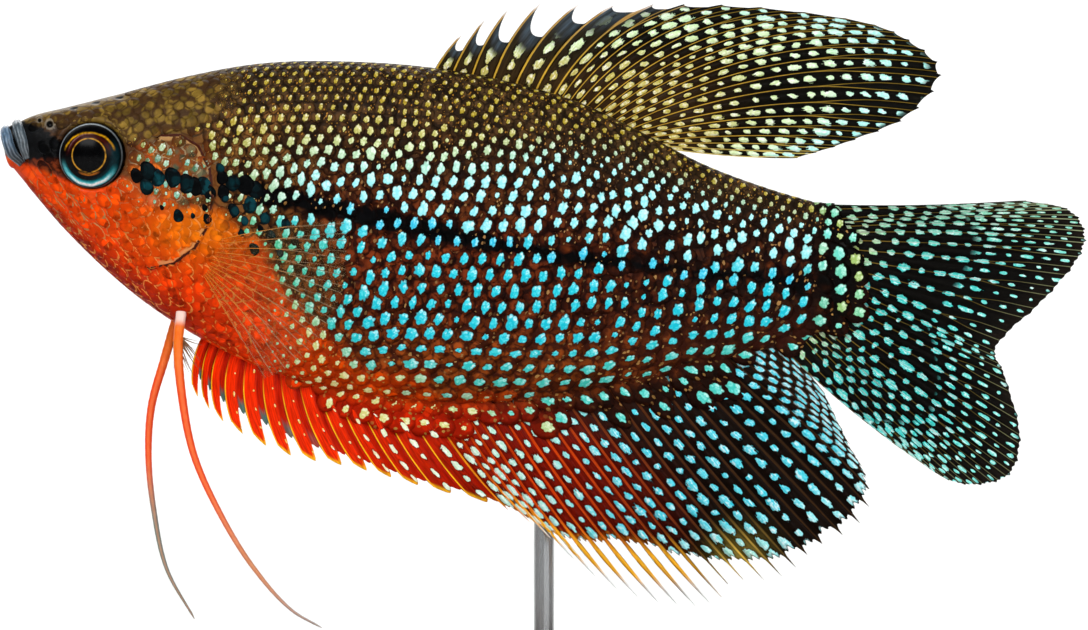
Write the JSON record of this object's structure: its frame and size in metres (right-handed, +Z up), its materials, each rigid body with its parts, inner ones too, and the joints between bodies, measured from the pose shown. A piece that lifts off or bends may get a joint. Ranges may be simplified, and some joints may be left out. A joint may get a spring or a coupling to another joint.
{
  "type": "pearl gourami display model",
  "caption": "Life-size display model of a pearl gourami: deep flat body, high back fin, long wavy belly fin, thread feelers, on a rod stand.",
  "frame": {"origin": "on the floor below the middle of the fish's length and of the stand's depth", "axes": "+X along the fish from its snout to its tail, +Y to the fish's right side, +Z up"},
  "size_m": [0.1087, 0.042, 0.0685],
  "materials": {
    "skin": "moist scaled skin, brown with pearl spots and a red breast",
    "eye": "clear wet eye, maroon and gold round a black pupil",
    "fin": "thin spotted membrane between bony rays",
    "clear_fin": "clear membrane with fine rays",
    "feeler": "smooth skin, orange to grey",
    "stand_wood": "oiled, fine grain",
    "stand_steel": "fine brushed"
  },
  "bodies": {
    "root": {"head": "skin", "lower_jaw": "skin", "gill_cover_left": "skin", "gill_cover_right": "skin", "trunk": "skin", "tail_stalk": "skin", "eye_left": "eye", "eye_right": "eye", "dorsal_fin": "fin", "anal_fin_front": "fin", "anal_fin_rear": "fin", "tail_fin_upper": "fin", "tail_fin_lower": "fin", "pectoral_fin_left": "clear_fin", "pectoral_fin_right": "clear_fin", "feeler_left_1": "feeler", "feeler_left_2": "feeler", "feeler_left_3": "feeler", "feeler_right_1": "feeler", "feeler_right_2": "feeler", "feeler_right_3": "feeler", "stand_base": "stand_wood", "stand_rod": "stand_steel"}
  },
  "joints": []
}
